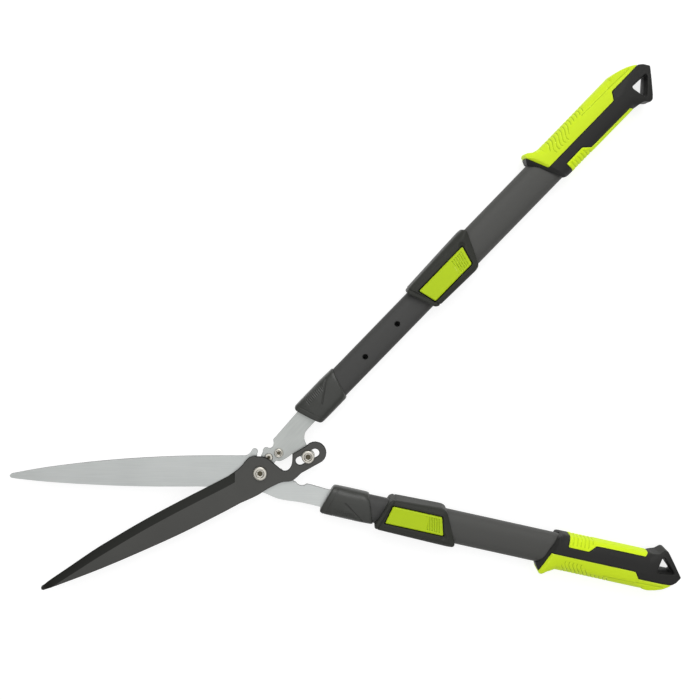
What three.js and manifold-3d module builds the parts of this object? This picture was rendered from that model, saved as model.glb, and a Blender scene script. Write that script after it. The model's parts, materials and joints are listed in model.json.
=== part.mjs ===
// Telescopic hedge shears with a slotted lever drive, lying flat and part open.
// Millimetres, +Z up. X runs from the blades to the handles. The origin is the rear end face
// of the main pivot bolt. "Front" is +Z, and "outer" is the side away from the other handle.
import * as THREE from 'three';
import { mergeVertices } from 'three/addons/utils/BufferGeometryUtils.js';
import Module from 'manifold-3d';

const wasm = await Module();
wasm.setup();

// ---------------------------------------------------------------- driving dimensions
const GAP = 0.3; // between pieces that touch
const PLATE = 3; // thickness of both blades and of the drive plate
const BACKPLATE = 2.5;
const PIVOT_HEIGHT = 13; // blade plane above the bolt's rear end face

// linkage, seen from the front, with the main pivot at 0, 0
const MAIN_PIVOT = { x: 0, y: 0 };
const ARM_PIVOT = { x: 8.5, y: 15.3 };
const DRIVE_PIN = { x: 48.6, y: 17 };
const STOP_SCREW = { x: 18.8, y: 20.2 };
const ARM_CLOSING = THREE.MathUtils.degToRad(36);
const SLOT = { x: 40.2, y: 12.6, endX: 55.6, endY: 20.8, halfWidth: 4.3 };
const FINGER = { x: -5.7, y: 21.3, r: 3.2 };

// handles: where the collar's outer end lies, and the axis direction
const LOWER = { name: 'lower', x: 118.7, y: -39.3, turn: -12.75, outer: -1, slide: 0 };
const UPPER = { name: 'upper', x: 84.9, y: 97, turn: 46.1, outer: 1, slide: 104.7 };

// oval tubes
const OUTER_TUBE = { width: 33.3, depth: 21, wall: 1.5, start: 44, end: 282 };
const INNER_TUBE = { width: 27.9, depth: 16.2, wall: 1.5, start: -47, end: 213 };
const OVAL_POWER = 2.6;
const OVAL_SIDES = 28;
const LOCK_HOLES = [30.4, 75.9, 135.1];
const LOCK_HOLE_R = 2.7;

const COLLAR = { start: -56, width: 33, depth: 23.5 };
const TANG = { width: 19.4, end: -6 };
const RIVET = { r: 2.2, places: [-36, -16] };
const HOUSING = { width: 42, depth: 34, flat: 31, floor: 10.4 };
const HOUSING_SCREW = { x: 62, y: 0 };
const GUIDE_RING_LENGTH = 3.7;
const LEVER = { top: 15.8, bottom: 12.9, pivotX: 50, pivotZ: 13.3, pinR: 1.1 };
const LOCK_PIN = { x: 30.4, r: 2, tip: 8.4 };
const GRIP = { width: 39.6, depth: 34, flat: 32.4, skin: 1.6 };
const GRIP_SCREW = { x: 192, y: 0 };
const REAR_SCREW = { r: 1.5, holeR: 1.8, length: 6.2 };

const FINISH = {
  steel: { color: 0xc2c4c3, roughness: 0.32, metalness: 1 },
  blackSteel: { color: 0x4b4b49, roughness: 0.5, metalness: 0.5 },
  nickel: { color: 0xc9cac6, roughness: 0.25, metalness: 1 },
  tube: { color: 0x515151, roughness: 0.5, metalness: 0.6 },
  plastic: { color: 0x40423f, roughness: 0.55, metalness: 0 },
  lime: { color: 0xd0e941, roughness: 0.45, metalness: 0 },
  nylon: { color: 0x2b2b2b, roughness: 0.6, metalness: 0 },
};

const shears = new THREE.Group();
shears.position.z = PIVOT_HEIGHT;

// ---------------------------------------------------------------- geometry helpers
const vec = (points) => points.map(([x, y]) => new THREE.Vector2(x, y));
const polygon = (points) => new THREE.Shape(vec(points));

function slab(shape, z0, z1, curveSegments = 6) {
  const options = { depth: z1 - z0, bevelEnabled: false, curveSegments };
  return new THREE.ExtrudeGeometry(shape, options).translate(0, 0, z0);
}

function disc(r, z0, z1, at = MAIN_PIVOT, sides = 28) {
  const geometry = new THREE.CylinderGeometry(r, r, z1 - z0, sides);
  return geometry.rotateX(Math.PI / 2).translate(at.x, at.y, (z0 + z1) / 2);
}

const hexagon = (acrossFlats, z0, z1, at) => disc(acrossFlats / Math.sqrt(3), z0, z1, at, 6);

function toSolid(geometry) {
  const bare = geometry.clone();
  bare.deleteAttribute('normal');
  bare.deleteAttribute('uv');
  const merged = mergeVertices(bare, 1e-4);
  return new wasm.Manifold(new wasm.Mesh({
    numProp: 3,
    vertProperties: new Float32Array(merged.attributes.position.array),
    triVerts: new Uint32Array(merged.index.array),
  }));
}

function toGeometry(solid) {
  const { vertProperties, triVerts } = solid.getMesh();
  const geometry = new THREE.BufferGeometry();
  geometry.setAttribute('position', new THREE.BufferAttribute(new Float32Array(vertProperties), 3));
  geometry.setIndex(new THREE.BufferAttribute(new Uint32Array(triVerts), 1));
  geometry.computeVertexNormals();
  return geometry;
}

const combine = (method) => (base, ...others) =>
  toGeometry(others.reduce((solid, other) => solid[method](toSolid(other)), toSolid(base)));
const cut = combine('subtract');
const join = combine('add');
const common = combine('intersect');

// turns a section drawn in X, Y into a bar along X, with the section's X across and its Y up
const ALONG_X = new THREE.Matrix4().set(0, 0, 1, 0, 1, 0, 0, 0, 0, 1, 0, 0, 0, 0, 0, 1);
const bar = (section, x0, x1) => slab(section, x0, x1).applyMatrix4(ALONG_X);

function oval(width, depth, power = OVAL_POWER, sides = OVAL_SIDES) {
  const squash = (value) => Math.sign(value) * Math.abs(value) ** (2 / power);
  const points = Array.from({ length: sides }, (_, i) => {
    const angle = (i / sides) * 2 * Math.PI;
    return [squash(Math.cos(angle)) * width / 2, squash(Math.sin(angle)) * depth / 2];
  });
  return polygon(points);
}

function ovalRing(width, depth, innerWidth, innerDepth) {
  const section = oval(width, depth);
  section.holes.push(oval(innerWidth, innerDepth));
  return section;
}

const ovalTube = ({ width, depth, wall, start, end }) =>
  bar(ovalRing(width, depth, width - 2 * wall, depth - 2 * wall), start, end);

function add(parent, name, geometry, finish) {
  const mesh = new THREE.Mesh(geometry, new THREE.MeshStandardMaterial(FINISH[finish]));
  mesh.name = name;
  parent.add(mesh);
  return mesh;
}

// a point given along and outward from a handle's own axis, in the plan of the whole tool
function onHandle(handle, along, outward) {
  const point = new THREE.Vector2(along, handle.outer * outward);
  point.rotateAround(new THREE.Vector2(), THREE.MathUtils.degToRad(handle.turn));
  return [point.x + handle.x, point.y + handle.y];
}

const outline = (handle, points) => polygon(points.map(([x, out]) => [x, handle.outer * out]));

const closedPin = new THREE.Vector2(DRIVE_PIN.x, DRIVE_PIN.y)
  .rotateAround(new THREE.Vector2(ARM_PIVOT.x, ARM_PIVOT.y), -ARM_CLOSING);

// ---------------------------------------------------------------- layers, front to back
const FIXED_LAYER = [-PLATE / 2, PLATE / 2];
const FRONT_LAYER = [PLATE / 2 + GAP, PLATE * 1.5 + GAP];
const REAR_LAYER = [-PLATE / 2 - GAP - BACKPLATE, -PLATE / 2 - GAP];

// ---------------------------------------------------------------- blades and pivot
function bladeHoles(geometry, holes) {
  return cut(geometry, ...holes.map(({ at, r }) => disc(r, -20, 20, at)));
}

const BACKPLATE_RIVETS = [{ x: -15, y: -2 }, { x: 13, y: -11 }];
const ARM_HEAD = { r: 3.9, thickness: 1.2, seatR: 4.2, seatDepth: 1.5 };

function fixedBlade() {
  const half = TANG.width / 2;
  const shape = new THREE.Shape();
  shape.moveTo(-254.5, -3.6);
  shape.quadraticCurveTo(-254.5, -1.9, -252, -1.2);
  shape.splineThru(vec([[-215.6, 5.2], [-166.7, 11.2], [-118.4, 15], [-70.3, 16.9], [-15.6, 17]]));
  shape.quadraticCurveTo(-11.5, 17.4, -8.6, 22.6);
  shape.absarc(FINGER.x, FINGER.y, FINGER.r, 2.6, -0.7, true);
  shape.absarc(ARM_PIVOT.x, ARM_PIVOT.y, 12, 2.96, 5.06, false);
  shape.lineTo(21, 3.4);
  shape.lineTo(34.3, -9.7);
  shape.absarc(closedPin.x, closedPin.y, 7, 3.6, 5.45, false);
  shape.lineTo(51.2, -13);
  for (const [x, out] of [[COLLAR.start, -half], [TANG.end, -half], [TANG.end, half], [COLLAR.start, half]]) {
    shape.lineTo(...onHandle(LOWER, x, out));
  }
  shape.splineThru(vec([[41.9, -31.6], [18.5, -27.7], [1.3, -20.8], [-24, -15.9], [-62.7, -14.7]]));
  shape.splineThru(vec([[-119.2, -14.6], [-167.4, -12.9], [-216.1, -9.8], [-252, -5.9]]));
  shape.quadraticCurveTo(-254.4, -5.4, -254.5, -3.6);
  const rivetHoles = [...BACKPLATE_RIVETS, ...RIVET.places.map((x) => {
    const [px, py] = onHandle(LOWER, x, 0);
    return { x: px, y: py };
  })];
  return bladeHoles(slab(shape, ...FIXED_LAYER, 5), [
    { at: MAIN_PIVOT, r: 4.3 },
    ...rivetHoles.map((at) => ({ at, r: RIVET.r + GAP })),
  ]);
}

function movingBlade() {
  const shape = new THREE.Shape();
  shape.moveTo(-226.3, -120.3);
  shape.quadraticCurveTo(-225.6, -116.8, -217.9, -111.1);
  shape.splineThru(vec([[-196.7, -97.3], [-175.2, -83.3], [-152.9, -69.6], [-124.6, -52.7], [-97.6, -37.7],
    [-68.7, -22.4], [-42.1, -8.7], [-32.4, -3.4]]));
  shape.splineThru(vec([[-25, 1.8], [-19.7, 6.3], [-16, 10.8], [-12.3, 14.9], [-8.6, 17], [-4.6, 17.6]]));
  shape.lineTo(-3.1, 16.9);
  shape.splineThru(vec([[2.9, 16.5], [8.6, 14], [18.3, 5.9], [20.9, 3.6], [23.6, 2.3], [27.4, 2.7],
    [30.6, 5.9], [32.1, 10.2], [32.6, 14.8]]));
  shape.lineTo(32.7, 19.4);
  shape.lineTo(46.1, 27.5);
  shape.absarc(SLOT.endX, SLOT.endY, 11.4, 2.1, -0.9, true);
  shape.lineTo(41.5, -0.1);
  shape.splineThru(vec([[32.4, -7.9], [21.1, -9.8], [8, -16], [-3.4, -23.3], [-20.6, -31.3]]));
  shape.splineThru(vec([[-41.1, -42.5], [-82.2, -63.5], [-123.5, -82.5], [-165, -100.5], [-206.5, -116.7],
    [-223.3, -122.7]]));
  shape.quadraticCurveTo(-226.4, -123.3, -226.3, -120.3);
  const along = Math.atan2(SLOT.endY - SLOT.y, SLOT.endX - SLOT.x);
  const slot = new THREE.Shape();
  slot.absarc(SLOT.x, SLOT.y, SLOT.halfWidth, along + Math.PI / 2, along - Math.PI / 2, false);
  slot.absarc(SLOT.endX, SLOT.endY, SLOT.halfWidth, along - Math.PI / 2, along + Math.PI / 2, false);
  return cut(slab(shape, ...FRONT_LAYER, 5), slab(slot, -20, 20), disc(6.3, -20, 20));
}

function backplate() {
  const shape = new THREE.Shape();
  shape.moveTo(-21, -2);
  shape.absarc(-15, -2, 6, Math.PI, 1.9, true);
  shape.lineTo(1, 13);
  shape.absarc(ARM_PIVOT.x, ARM_PIVOT.y, 7.5, 2.9, -0.9, true);
  shape.lineTo(14, 0);
  shape.absarc(13, -11, 5, 0.9, 4.2, true);
  shape.lineTo(0, -12);
  shape.absarc(-15, -2, 6, 4.3, Math.PI, true);
  return bladeHoles(slab(shape, ...REAR_LAYER), [
    { at: MAIN_PIVOT, r: 4.3 },
    { at: ARM_PIVOT, r: 3.3 },
    ...BACKPLATE_RIVETS.map((at) => ({ at, r: RIVET.r + GAP })),
  ]);
}

// button head with a hex socket, its underside at z
function socketHead(at, r, height, z, socket) {
  const profile = vec([[0, z], [r, z], [r, z + height * 0.35], [r * 0.88, z + height * 0.75],
    [r * 0.62, z + height], [0, z + height]]);
  const head = new THREE.LatheGeometry(profile, 28).rotateX(Math.PI / 2).translate(at.x, at.y, 0);
  return cut(head, hexagon(socket, z + height * 0.4, z + height + 1, at));
}

function bolt(at, headR, height, shankR, z, end, socket) {
  return join(socketHead(at, headR, height, z, socket), disc(shankR, end, z + height * 0.3, at, 20));
}

function nut(at, acrossFlats, z0, z1, boreR) {
  return cut(hexagon(acrossFlats, z0, z1, at), disc(boreR, z0 - 1, z1 + 1, at, 20));
}

function addRivets(parent, name, places, z0, z1) {
  places.forEach((at, i) => add(parent, `${name}_${i + 1}`, disc(RIVET.r, z0, z1, at, 14), 'nickel'));
}

function addPivots() {
  const front = FRONT_LAYER[1] + GAP;
  const rear = REAR_LAYER[0] - GAP;
  const end = -PIVOT_HEIGHT;
  add(shears, 'fixed_blade', fixedBlade(), 'steel');
  add(shears, 'pivot_backplate', backplate(), 'steel');
  addRivets(shears, 'backplate_rivet', BACKPLATE_RIVETS, REAR_LAYER[0], FIXED_LAYER[1]);
  add(shears, 'pivot_bolt', bolt(MAIN_PIVOT, 7, 3.6, 4, front, end, 5), 'nickel');
  add(shears, 'pivot_washer', cut(disc(7.5, rear - 1.2, rear), disc(4.3, -20, 20)), 'nickel');
  add(shears, 'pivot_nut', nut(MAIN_PIVOT, 13, end + 1, rear - 1.2 - GAP, 4.3), 'nickel');
  const headTop = FIXED_LAYER[1];
  const flushHead = join(disc(ARM_HEAD.r, headTop - ARM_HEAD.thickness, headTop, ARM_PIVOT),
    disc(3, -9, headTop - 1, ARM_PIVOT, 20));
  add(shears, 'arm_pivot_pin', flushHead, 'nickel');
  add(shears, 'arm_pivot_nut', nut(ARM_PIVOT, 9, -8.6, rear, 3.3), 'nickel');
  add(shears, 'moving_blade', movingBlade(), 'blackSteel');
  const bush = cut(disc(6, FRONT_LAYER[0] + 0.1, FRONT_LAYER[1] - 0.1), disc(4.3, -20, 20));
  add(shears, 'blade_bushing', bush, 'nylon');
}

// ---------------------------------------------------------------- drive plate on the upper handle
function drivePlate() {
  const half = TANG.width / 2;
  const shape = new THREE.Shape();
  shape.moveTo(13.2, 33.7);
  shape.quadraticCurveTo(14.6, 27.4, 11.2, 25.1);
  shape.quadraticCurveTo(9.4, 24.2, 7.4, 25.3);
  shape.absarc(5.9, 22.3, 3.3, 1.1, 3.3, false);
  shape.absarc(ARM_PIVOT.x, ARM_PIVOT.y, 8, 2.5, 5.9, false);
  shape.quadraticCurveTo(19, 10.6, 23.1, 12.8);
  shape.quadraticCurveTo(28, 15.4, 32.4, 19.1);
  shape.quadraticCurveTo(38.5, 19.5, 43.8, 13.1);
  shape.absarc(DRIVE_PIN.x, DRIVE_PIN.y, 6.2, 3.82, 7.4, false);
  shape.quadraticCurveTo(45.9, 27.4, 44.6, 34);
  shape.quadraticCurveTo(44.3, 40.5, 47.4, 43.6);
  for (const [x, out] of [[COLLAR.start, -half], [TANG.end, -half], [TANG.end, half], [COLLAR.start, half]]) {
    shape.lineTo(...onHandle(UPPER, x, out));
  }
  const rivetHoles = RIVET.places.map((x) => {
    const [px, py] = onHandle(UPPER, x, 0);
    return { at: { x: px, y: py }, r: RIVET.r + GAP };
  });
  const counterbore = disc(ARM_HEAD.seatR, FIXED_LAYER[1] - ARM_HEAD.seatDepth, 20, ARM_PIVOT);
  return cut(bladeHoles(slab(shape, ...FIXED_LAYER, 4), [
    { at: ARM_PIVOT, r: 3.3 },
    { at: DRIVE_PIN, r: 3.7 },
    { at: STOP_SCREW, r: 2.3 },
    ...rivetHoles,
  ]), counterbore);
}

function addDrive() {
  const front = FRONT_LAYER[1] + GAP;
  const rear = FIXED_LAYER[0] - GAP;
  add(shears, 'drive_plate', drivePlate(), 'steel');
  add(shears, 'drive_bolt', bolt(DRIVE_PIN, 6.5, 3.4, 3.4, front, -8, 4), 'nickel');
  const washer = cut(disc(6.4, rear - 1.1, rear, DRIVE_PIN), disc(3.7, -20, 20, DRIVE_PIN));
  add(shears, 'drive_washer', washer, 'nickel');
  add(shears, 'drive_nut', nut(DRIVE_PIN, 10, -7.4, rear - 1.1 - GAP, 3.7), 'nickel');
  const screwSeat = FIXED_LAYER[1] + GAP;
  add(shears, 'stop_screw', bolt(STOP_SCREW, 4.6, 2.6, 2, screwSeat, FIXED_LAYER[0], 3), 'nickel');
}

// ---------------------------------------------------------------- tubes and what joins them
function innerTube() {
  const holes = LOCK_HOLES.map((x) => disc(LOCK_HOLE_R, 1, 20, { x, y: 0 }, 18));
  const rivetHoles = RIVET.places.map((x) => disc(RIVET.r + GAP, -20, 20, { x, y: 0 }, 14));
  return cut(ovalTube(INNER_TUBE), ...holes, ...rivetHoles);
}

function collar(handle) {
  const plan = outline(handle, [[-57.4, 12.2], [-56.5, 14.6], [-54.4, 16], [-20, 16.4], [-1.2, 15.2],
    [-12.4, -16.2], [-30, -16.4], [-44.6, -16.4], [-47.8, -15.8], [-49.4, -14.2]]);
  const body = common(bar(oval(COLLAR.width, COLLAR.depth, 3), -60, 5), slab(plan, -15, 15));
  const { width, depth, start } = INNER_TUBE;
  const tubeSpace = bar(oval(width + 2 * GAP, depth + 2 * GAP), start - GAP, 10);
  const tangSpace = new THREE.BoxGeometry(60, TANG.width + 2 * GAP, PLATE + 2 * GAP).translate(-60, 0, 0);
  return cut(body, tubeSpace, tangSpace);
}

function tangPlug(side) {
  const wall = 2 * (INNER_TUBE.wall + GAP);
  const plug = bar(oval(INNER_TUBE.width - wall, INNER_TUBE.depth - wall), INNER_TUBE.start, TANG.end);
  const keep = new THREE.BoxGeometry(200, 60, 20).translate(0, 0, side * (10 + PLATE / 2 + GAP));
  const holes = RIVET.places.map((x) => disc(RIVET.r + GAP, -20, 20, { x, y: 0 }, 14));
  return cut(common(plug, keep), ...holes);
}

function endPlug() {
  const wall = 2 * (INNER_TUBE.wall + GAP);
  const body = bar(oval(INNER_TUBE.width - wall, INNER_TUBE.depth - wall), 198, INNER_TUBE.end + 1);
  const { width, depth, wall: outerWall } = OUTER_TUBE;
  const slack = 2 * (outerWall + GAP);
  return join(body, bar(oval(width - slack, depth - slack), INNER_TUBE.end + GAP, INNER_TUBE.end + 4));
}

function addFixedHandle(handle, place) {
  const named = (name) => `${handle.name}_${name}`;
  const spots = RIVET.places.map((x) => ({ x, y: 0 }));
  add(place, named('inner_tube'), innerTube(), 'tube');
  add(place, named('collar'), collar(handle), 'plastic');
  add(place, named('tang_plug_front'), tangPlug(1), 'nylon');
  add(place, named('tang_plug_rear'), tangPlug(-1), 'nylon');
  addRivets(place, named('tang_rivet'), spots, -INNER_TUBE.depth / 2, INNER_TUBE.depth / 2);
  add(place, named('end_plug'), endPlug(), 'nylon');
}

// ---------------------------------------------------------------- lock housing and its rocking lever
const HOUSING_PLAN = [[-0.5, 14.6], [2.2, 17], [76.5, 19.7], [82.2, 18.9], [83.6, 15.2], [69.2, -15],
  [66.8, -17.6], [62.8, -18.9], [12.6, -16.9], [9.4, -14.6]];
const LEVER_PLAN = [[9.6, 7.8], [69.4, 7.8], [64, -10.6], [13.6, -10.6]];
const POCKET_PLAN = [[8.3, 8.8], [70.8, 8.8], [64.9, -11.6], [12.6, -11.6]];

function housing(handle) {
  const { width, depth, flat, floor } = HOUSING;
  const plan = slab(outline(handle, HOUSING_PLAN), -flat / 2, flat / 2);
  const block = common(plan, bar(oval(width, depth, 3), -10, 100));
  const spaceFor = (tube, x0) => bar(oval(tube.width + 2 * GAP, tube.depth + 2 * GAP), x0, 100);
  const pocket = slab(outline(handle, POCKET_PLAN), floor, 30);
  const lockPinSpace = disc(LOCK_PIN.r + 1, 0, 30, { x: LOCK_PIN.x, y: 0 }, 18);
  const step = OUTER_TUBE.start - GUIDE_RING_LENGTH - 2 * GAP;
  return cut(block, spaceFor(INNER_TUBE, -10), spaceFor(OUTER_TUBE, step), pocket, lockPinSpace,
    leverPin(LEVER.pinR + GAP, 17), screwSpace(HOUSING_SCREW));
}

// enters from the rear and stops in the tube's wall
const rearScrew = (at, z) => disc(REAR_SCREW.r, z, z + REAR_SCREW.length, at, 14);
const screwSpace = (at) => disc(REAR_SCREW.holeR, -30, 0, at, 14);

function leverPin(r, halfLength) {
  const pin = new THREE.CylinderGeometry(r, r, 2 * halfLength, 14);
  return pin.translate(LEVER.pivotX, 0, LEVER.pivotZ);
}

function lever(handle) {
  const plate = slab(outline(handle, LEVER_PLAN), LEVER.bottom, LEVER.top - 0.6);
  const inset = outline(handle, [[11, 6.8], [67.8, 6.8], [63, -9.6], [14.4, -9.6]]);
  const boss = new THREE.BoxGeometry(7, 17, 3).translate(LEVER.pivotX, handle.outer * -1.4, 12.6);
  const grooves = Array.from({ length: 5 }, (_, i) => {
    const groove = new THREE.BoxGeometry(1.1, 15, 1);
    return groove.translate(55 + 2.2 * i, handle.outer * -1.4, LEVER.top);
  });
  const solid = join(plate, slab(inset, LEVER.top - 1, LEVER.top), boss);
  return cut(solid, leverPin(LEVER.pinR + GAP, 30), ...grooves);
}

// bent leaf that holds the ribbed end of the lever up
function leafSpring(handle) {
  const base = OUTER_TUBE.depth / 2 + GAP;
  const top = LEVER.bottom - GAP;
  const side = polygon([[54, base], [58.5, base], [62.6, top - 0.5], [65.4, top - 0.5], [65.4, top], [62.2, top],
    [58.1, base + 0.5], [54, base + 0.5]]);
  return slab(side, -2.5, 2.5).rotateX(Math.PI / 2).translate(0, handle.outer * -1.4, 0);
}

// ---------------------------------------------------------------- grip
const GRIP_PLAN = [[169, 17.2], [172.8, 22], [174.8, 25.6], [177.4, 26.2], [182, 21.8], [187, 19.6], [286, 18.8],
  [299.4, 15.2], [309.8, 8.6], [313.2, 5.2], [317.2, -1], [297, -25.4], [293.8, -25.8], [289.4, -21], [283, -19.4],
  [197.6, -19.2], [189.4, -18.8], [184.8, -16.4], [181, -7]];
const GRIP_PROFILE = [[150, 12.6], [169, 12.6], [180, 17], [276, 17], [318, 10], [330, 10]];
const OVERMOULD_PLAN = [[169.3, 20.8], [181, 2.1], [268, 2.1], [273.4, 7.9], [312, 7.9], [312, 40], [169, 40]];
const INSERT_PLAN = [[198, -30], [196, -8.8], [216.8, -8], [223.8, -14], [275.5, -14.4], [279.5, -19],
  [282, -30]];
const HANG_HOLE = [[291.2, -3.4], [308, -4.8], [294, -17.6]];

// seen from the side, the grip gets thinner towards both ends
function gripProfile() {
  const rear = GRIP_PROFILE.map(([x, z]) => [x, -z]).reverse();
  return slab(polygon([...GRIP_PROFILE, ...rear]), -40, 40).rotateX(Math.PI / 2);
}

function gripBlock(handle, shrink) {
  const { width, depth, flat } = GRIP;
  const plan = slab(outline(handle, GRIP_PLAN), -flat / 2 + shrink, flat / 2 - shrink);
  const section = bar(oval(width - 2 * shrink, depth - 2 * shrink, 2.5), 160, 322);
  const flare = bar(oval(58, 40, 2.5), 160, 187);
  const heel = bar(oval(60, 26, 3), 286, 322);
  return common(plan, shrink ? section : join(section, flare, heel), gripProfile());
}

function gripCore(handle) {
  const { skin } = GRIP;
  const grow = (points) => slab(outline(handle, points), -30, 30);
  const shell = cut(gripBlock(handle, 0), grow(OVERMOULD_PLAN), grow(INSERT_PLAN));
  const inner = common(gripBlock(handle, skin + GAP), bar(oval(50, 50), 176, 300));
  const { width, depth, end } = OUTER_TUBE;
  const tubeSpace = bar(oval(width + 2 * GAP, depth + 2 * GAP), 160, end + GAP);
  const hole = slab(outline(handle, HANG_HOLE), -30, 30);
  return cut(join(shell, inner), tubeSpace, hole, screwSpace(GRIP_SCREW));
}

function gripSkin(handle, plan) {
  const { skin, width, depth } = GRIP;
  const region = slab(outline(handle, plan), -30, 30);
  const inner = bar(oval(width - 2 * skin, depth - 2 * skin, 2.5), 150, 330);
  const clear = slab(outline(handle, GRIP_PLAN), -GRIP.flat / 2 + skin, GRIP.flat / 2 - skin);
  return cut(common(gripBlock(handle, 0), region), common(inner, clear));
}

function addSlidingHandle(handle, place) {
  const named = (name) => `${handle.name}_${name}`;
  const { width, depth } = OUTER_TUBE;
  const screwHoles = [HOUSING_SCREW, GRIP_SCREW].map(screwSpace);
  add(place, named('outer_tube'), cut(ovalTube(OUTER_TUBE), ...screwHoles), 'tube');
  const ring = ovalRing(width, depth, INNER_TUBE.width + 2 * GAP, INNER_TUBE.depth + 2 * GAP);
  const ringEnd = OUTER_TUBE.start - GAP;
  add(place, named('guide_ring'), bar(ring, ringEnd - GUIDE_RING_LENGTH, ringEnd), 'nylon');
  add(place, named('lock_housing'), housing(handle), 'plastic');
  add(place, named('housing_screw'), rearScrew(HOUSING_SCREW, -HOUSING.flat / 2), 'nickel');
  add(place, named('lever_hinge_pin'), leverPin(LEVER.pinR, 16), 'nickel');
  add(place, named('lever_spring'), leafSpring(handle), 'nickel');
  add(place, named('lock_lever'), lever(handle), 'lime');
  const tip = disc(LOCK_PIN.r, LOCK_PIN.tip, LEVER.bottom - GAP, { x: LOCK_PIN.x, y: 0 }, 16);
  add(place, named('lock_pin'), tip, 'nickel');
  add(place, named('grip_core'), gripCore(handle), 'plastic');
  add(place, named('grip_overmould'), gripSkin(handle, OVERMOULD_PLAN), 'lime');
  add(place, named('grip_insert'), gripSkin(handle, INSERT_PLAN), 'lime');
  add(place, named('grip_screw'), rearScrew(GRIP_SCREW, -GRIP.flat / 2), 'nickel');
}

function addHandle(handle) {
  const place = new THREE.Group();
  place.position.set(handle.x, handle.y, 0);
  place.rotation.z = THREE.MathUtils.degToRad(handle.turn);
  const sliding = new THREE.Group();
  sliding.position.x = handle.slide;
  place.add(sliding);
  shears.add(place);
  addFixedHandle(handle, place);
  addSlidingHandle(handle, sliding);
}

addPivots();
addDrive();
addHandle(LOWER);
addHandle(UPPER);

export default shears;
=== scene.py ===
"""Telescopic hedge shears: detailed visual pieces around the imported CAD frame.

Every shape is worked out in millimetres and placed in metres. Handle pieces use the handle's own
axes: w along it, v outward from the other handle, z up from the plane of the blades.
"""
import json
import math

import bpy
import numpy as np
import openvdb
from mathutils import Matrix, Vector
from mathutils.geometry import delaunay_2d_cdt


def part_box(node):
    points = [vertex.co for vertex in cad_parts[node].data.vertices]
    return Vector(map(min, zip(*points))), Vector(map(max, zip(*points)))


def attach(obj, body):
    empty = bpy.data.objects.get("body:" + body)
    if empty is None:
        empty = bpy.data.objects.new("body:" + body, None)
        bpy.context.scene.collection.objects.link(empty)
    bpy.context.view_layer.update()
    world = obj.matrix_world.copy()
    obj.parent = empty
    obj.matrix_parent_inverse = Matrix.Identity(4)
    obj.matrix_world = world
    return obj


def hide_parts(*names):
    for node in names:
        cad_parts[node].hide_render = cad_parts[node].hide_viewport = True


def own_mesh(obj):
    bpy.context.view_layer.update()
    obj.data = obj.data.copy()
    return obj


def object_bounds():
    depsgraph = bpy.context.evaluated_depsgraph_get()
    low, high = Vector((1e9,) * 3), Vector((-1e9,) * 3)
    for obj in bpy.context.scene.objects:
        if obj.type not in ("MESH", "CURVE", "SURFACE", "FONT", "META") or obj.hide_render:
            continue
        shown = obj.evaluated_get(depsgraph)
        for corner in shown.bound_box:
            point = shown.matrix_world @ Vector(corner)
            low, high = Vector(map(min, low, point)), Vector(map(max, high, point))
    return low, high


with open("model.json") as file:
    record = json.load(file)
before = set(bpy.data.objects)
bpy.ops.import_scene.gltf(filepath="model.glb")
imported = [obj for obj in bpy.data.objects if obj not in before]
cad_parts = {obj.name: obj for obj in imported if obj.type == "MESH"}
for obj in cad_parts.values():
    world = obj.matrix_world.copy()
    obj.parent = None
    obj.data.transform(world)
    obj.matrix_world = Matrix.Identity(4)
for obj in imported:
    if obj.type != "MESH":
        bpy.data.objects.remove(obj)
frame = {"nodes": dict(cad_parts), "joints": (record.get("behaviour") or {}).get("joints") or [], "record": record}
cad_box = [list(corner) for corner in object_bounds()]

MM = 0.001
JOINTS = {joint["name"]: joint for joint in frame["joints"]}
BODY_OF = {node: body for body, nodes in frame["record"]["behaviour"]["bodies"].items() for node in nodes}
PLANE = JOINTS["arm_pivot"]["pos_m"][2] / MM  # mid height of the fixed blade
LEVER_W, LEVER_Z = 50, 13.3  # the lock lever's pin in the handle's axes


# ---------------------------------------------------------------- places
def node_points(node):
    mesh = frame["nodes"][node].data
    points = np.zeros(len(mesh.vertices) * 3)
    mesh.vertices.foreach_get("co", points)
    return points.reshape(-1, 3) / MM


def handle(side):
    """Origins and axes of one handle. The slider's origin lies LEVER_W before its lever's pin."""
    slide = JOINTS[f"{side}_telescope"]
    along = np.array(slide["axis"])
    outer = math.copysign(1, along[1])
    across = outer * np.array((-along[1], along[0], 0))
    slider = np.array(JOINTS[f"{side}_lock"]["pos_m"]) / MM - LEVER_W * along
    slider[2] = PLANE
    drawn_out = -slide["range_m"][0] / MM
    axes = np.array((along, across, (0, 0, 1)))
    return {"side": side, "axes": axes, "mirrored": outer < 0, "slider": slider,
            "fixed": slider - drawn_out * along}


HANDLES = [handle("lower"), handle("upper")]


def extent(node, axes, origin):
    """Lowest and highest corner of a CAD node in a handle's own axes."""
    local = (node_points(node) - origin) @ axes.T
    return local.min(0), local.max(0)


# ---------------------------------------------------------------- pieces
def make_piece(node, points, faces, slot, finishes, face_finish=None, sharp=None):
    """Makes the visible piece that stands for a CAD node. Points are in the row frame, in mm."""
    mesh = bpy.data.meshes.new(f"{node}_form")
    mesh.from_pydata((np.asarray(points) * MM).tolist(), [], [list(map(int, face)) for face in faces])
    for finish in finishes if isinstance(finishes, list) else [finishes]:
        mesh.materials.append(finish)
    if face_finish is not None:
        mesh.polygons.foreach_set("material_index", np.asarray(face_finish, np.int32))
    mesh.polygons.foreach_set("use_smooth", np.ones(len(mesh.polygons), bool))
    if sharp:
        mesh.set_sharp_from_angle(angle=math.radians(sharp))
    mesh.validate()
    piece = bpy.data.objects.new(f"{node}_form", mesh)
    bpy.context.scene.collection.objects.link(piece)
    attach(piece, BODY_OF[node])
    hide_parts(node)
    return piece


def on_handle(place, origin, points, faces):
    """Moves a shape from a handle's own axes to the row frame. A mirrored handle turns its faces."""
    if place["mirrored"]:
        faces = [face[::-1] for face in faces]
    return np.asarray(points) @ place["axes"] + place[origin], faces


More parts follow.
